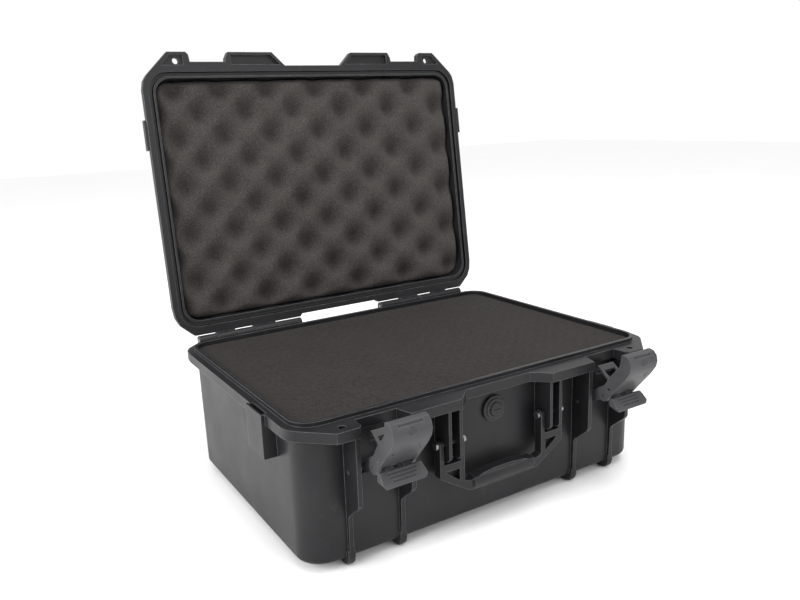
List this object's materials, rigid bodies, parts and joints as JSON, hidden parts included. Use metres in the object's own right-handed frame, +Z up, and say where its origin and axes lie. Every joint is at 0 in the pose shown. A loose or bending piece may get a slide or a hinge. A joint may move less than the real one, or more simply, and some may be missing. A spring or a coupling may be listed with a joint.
{
  "type": "hard equipment case",
  "caption": "Moulded hard equipment case with a hinged foam-lined lid, draw latches, a folding carry handle and a pressure valve.",
  "frame": {"origin": "centre of the tub's flat underside, under the middle of the rim's width and depth; the feet stand on the ground at z = -0.008", "axes": "+X along the hinge and the case's width, to the right seen from the front; -Y out of the front with the latches; +Z up"},
  "size_m": [0.4274, 0.4476, 0.461],
  "materials": {
    "shell": "lightly textured moulded black",
    "latch": "satin dark grey moulded",
    "steel": "plain drawn pin stock",
    "seal": "matte",
    "foam": "open-cell, matte"
  },
  "bodies": {
    "base": {"base_foam_lower": "foam", "base_foam_pad": "foam", "base_foam_upper": "foam", "base_shell": "shell", "handle_pin_left": "steel", "handle_pin_right": "steel", "hinge_pin_left": "steel", "hinge_pin_right": "steel", "latch_pin_left": "steel", "latch_pin_right": "steel", "valve_body": "shell", "valve_nut": "shell", "valve_seal": "seal"},
    "lid": {"lid_foam": "foam", "lid_gasket": "seal", "lid_shell": "shell"},
    "handle": {"carry_handle": "shell"},
    "valve_knob": {"valve_knob": "shell"},
    "latch_left": {"latch_lever_left": "latch", "bail_pin_left": "steel", "trigger_pin_left": "steel", "trigger_spring_left": "steel"},
    "bail_left": {"latch_bail_left": "latch"},
    "trigger_left": {"latch_trigger_left": "latch"},
    "latch_right": {"latch_lever_right": "latch", "bail_pin_right": "steel", "trigger_pin_right": "steel", "trigger_spring_right": "steel"},
    "bail_right": {"latch_bail_right": "latch"},
    "trigger_right": {"latch_trigger_right": "latch"}
  },
  "joints": [
    {"name": "lid_hinge", "type": "hinge", "parent": "base", "child": "lid", "pos_m": [0, 0.1595, 0.1305], "axis": [1, 0, 0], "range_deg": [0, 97]},
    {"name": "handle_fold", "type": "hinge", "parent": "base", "child": "handle", "pos_m": [0, -0.1525, 0.086], "axis": [-1, 0, 0], "range_deg": [0, 95]},
    {"name": "valve_turn", "type": "hinge", "parent": "base", "child": "valve_knob", "pos_m": [0, -0.1472, 0.101], "axis": [0, -1, 0], "range_deg": [0, 180]},
    {"name": "latch_left_swing", "type": "hinge", "parent": "base", "child": "latch_left", "pos_m": [-0.1324, -0.148, 0.085], "axis": [-1, 0, 0], "range_deg": [-20, 33]},
    {"name": "bail_left_swing", "type": "hinge", "parent": "latch_left", "child": "bail_left", "pos_m": [-0.1324, -0.1796, 0.1044], "axis": [-1, 0, 0], "range_deg": [-69.9, 42.4]},
    {"name": "trigger_left_pull", "type": "hinge", "parent": "latch_left", "child": "trigger_left", "pos_m": [-0.1324, -0.1716, 0.0955], "axis": [-1, 0, 0], "range_deg": [0, 10], "stiffness_Nm_per_rad": 0.05, "springref_deg": -11.46},
    {"name": "latch_right_swing", "type": "hinge", "parent": "base", "child": "latch_right", "pos_m": [0.1324, -0.148, 0.085], "axis": [-1, 0, 0], "range_deg": [-20, 33]},
    {"name": "bail_right_swing", "type": "hinge", "parent": "latch_right", "child": "bail_right", "pos_m": [0.1324, -0.1796, 0.1044], "axis": [-1, 0, 0], "range_deg": [-69.9, 42.4]},
    {"name": "trigger_right_pull", "type": "hinge", "parent": "latch_right", "child": "trigger_right", "pos_m": [0.1324, -0.1716, 0.0955], "axis": [-1, 0, 0], "range_deg": [0, 10], "stiffness_Nm_per_rad": 0.05, "springref_deg": -11.46}
  ],
  "couplings": [
    {"joint": "bail_left_swing", "follows": "latch_left_swing", "ratio": -2.115},
    {"joint": "bail_right_swing", "follows": "latch_right_swing", "ratio": -2.115}
  ]
}
